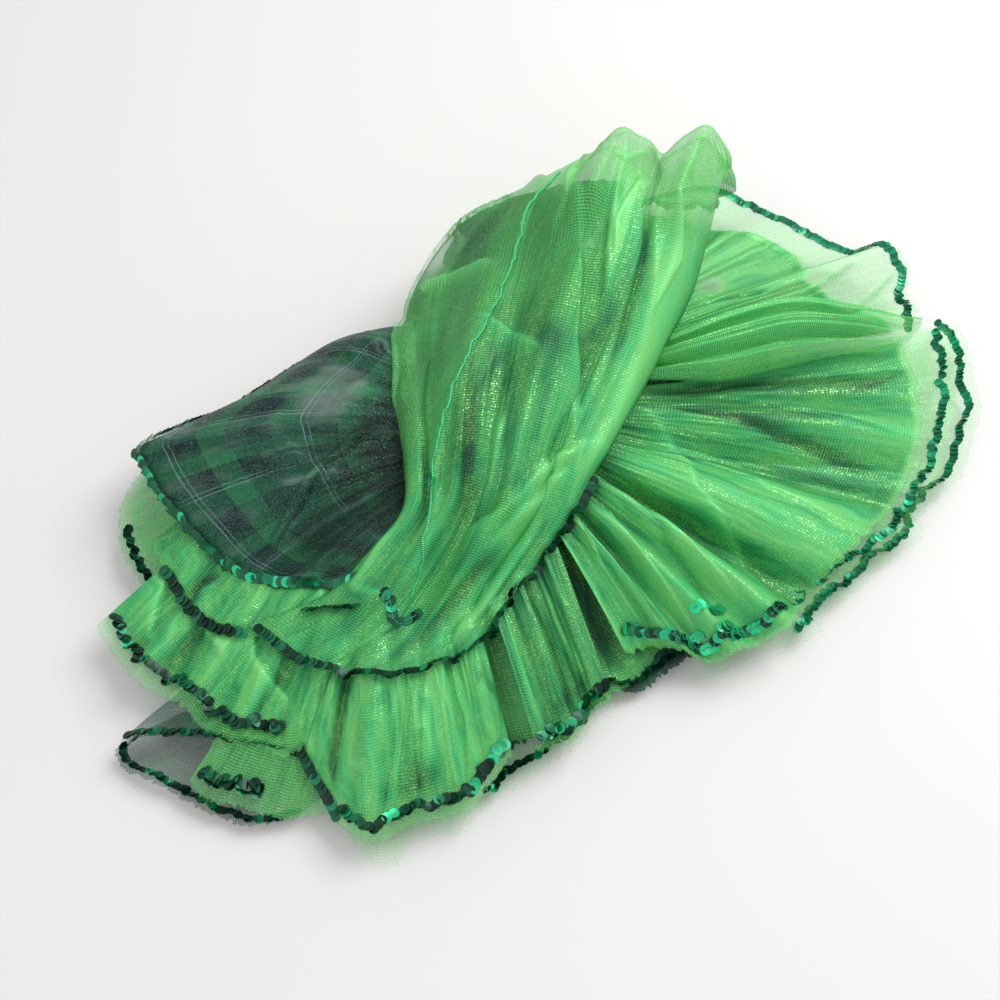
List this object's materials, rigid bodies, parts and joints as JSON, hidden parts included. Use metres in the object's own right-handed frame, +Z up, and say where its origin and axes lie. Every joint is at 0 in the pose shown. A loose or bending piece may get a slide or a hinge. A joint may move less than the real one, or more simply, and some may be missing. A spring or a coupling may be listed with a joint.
{
  "type": "tutu skirt",
  "caption": "Layered organza tutu skirt dropped in a soft heap: gathered flounces fan out round a hidden waist under a wide wrap.",
  "frame": {"origin": "middle of the heap's footprint, on the surface it lies on", "axes": "+Z up; +X towards the right-hand fan of pleats; +Y towards the crest of the wrap, away from the viewer"},
  "size_m": [0.4522, 0.3885, 0.1189],
  "materials": {
    "green_organza": "metallic organza, fine ribs, see-through in a single layer",
    "tartan_organza": "sheer woven tartan, dark green and navy with pale lines",
    "hidden_layers": "packed layers of green organza round the waistband"
  },
  "bodies": {
    "root": {"hidden_gathers": "hidden_layers", "right_flounce_lower": "green_organza", "right_flounce_middle": "green_organza", "right_flounce_upper": "green_organza", "right_flounce_roll": "green_organza", "back_flounce": "green_organza", "top_wrap": "green_organza", "front_flounce_under": "green_organza", "front_flounce_left": "green_organza", "front_flounce_middle": "green_organza", "left_tier_side": "green_organza", "left_tier_low": "green_organza", "left_tier_upper": "green_organza", "corner_flap": "green_organza", "tartan_flare": "tartan_organza", "tartan_bulge": "tartan_organza", "front_tartan": "tartan_organza", "corner_tartan_lower": "tartan_organza", "corner_tartan_upper": "tartan_organza"}
  },
  "joints": []
}
